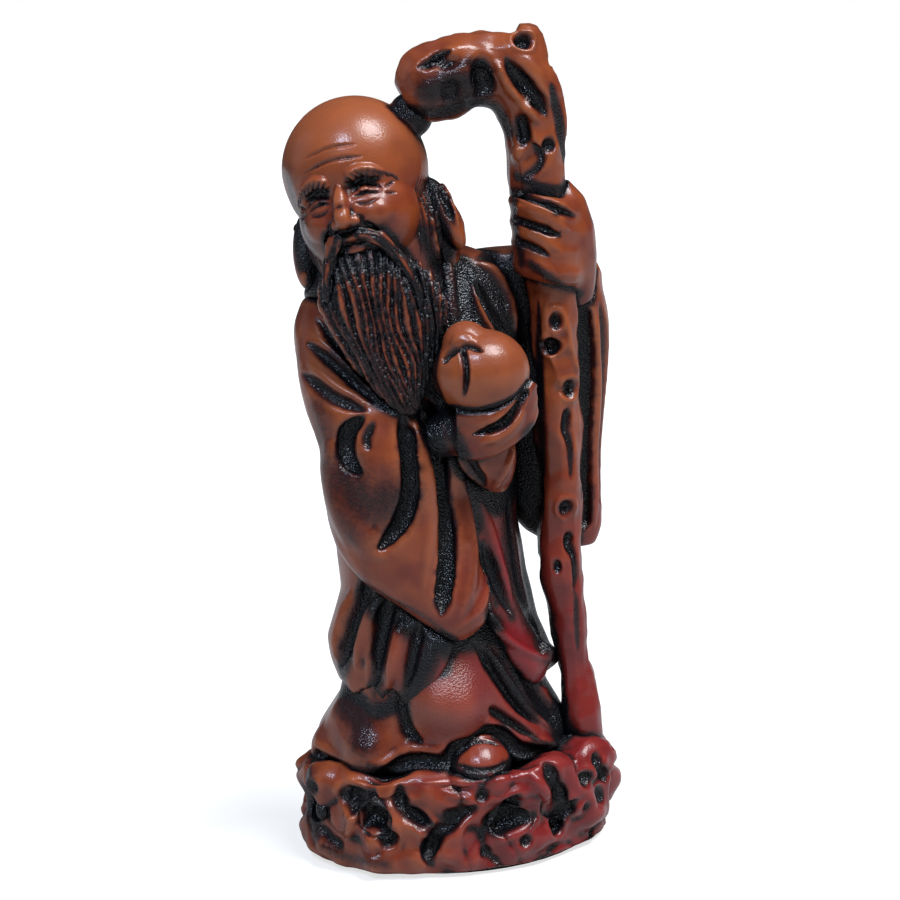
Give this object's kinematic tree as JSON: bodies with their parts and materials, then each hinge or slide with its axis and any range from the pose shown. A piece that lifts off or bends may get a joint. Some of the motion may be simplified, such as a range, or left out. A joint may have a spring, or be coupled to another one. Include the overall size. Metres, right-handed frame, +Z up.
{
  "type": "longevity god figurine",
  "caption": "Small standing figure of an old bearded man holding a peach and a gnarled staff on a rock plinth, cast in dark red resin, for a shelf or a desk.",
  "frame": {"origin": "point on the underside of the felt pad, below the middle of the rock plinth", "axes": "+Z up along the figure, -Y the way the figure faces, +X towards the staff"},
  "size_m": [0.0776, 0.0586, 0.1813],
  "materials": {
    "resin": "cast resin, reddish brown, dark wash in the hollows, satin gloss",
    "felt": "black felt",
    "steel": "plain steel wire"
  },
  "bodies": {
    "root": {"felt_pad": "felt", "rock_base": "resin", "under_robe": "resin", "over_robe": "resin", "shoe": "resin", "right_sleeve": "resin", "left_sleeve": "resin", "right_cuff": "resin", "right_hand": "resin", "left_hand": "resin", "peach": "resin", "staff": "resin", "head": "resin", "beard": "resin", "moustache_left": "resin", "moustache_right": "resin", "neck_dowel": "steel", "waist_dowel": "steel", "rock_dowel_right": "steel", "rock_dowel_left": "steel", "staff_dowel": "steel"}
  },
  "joints": []
}
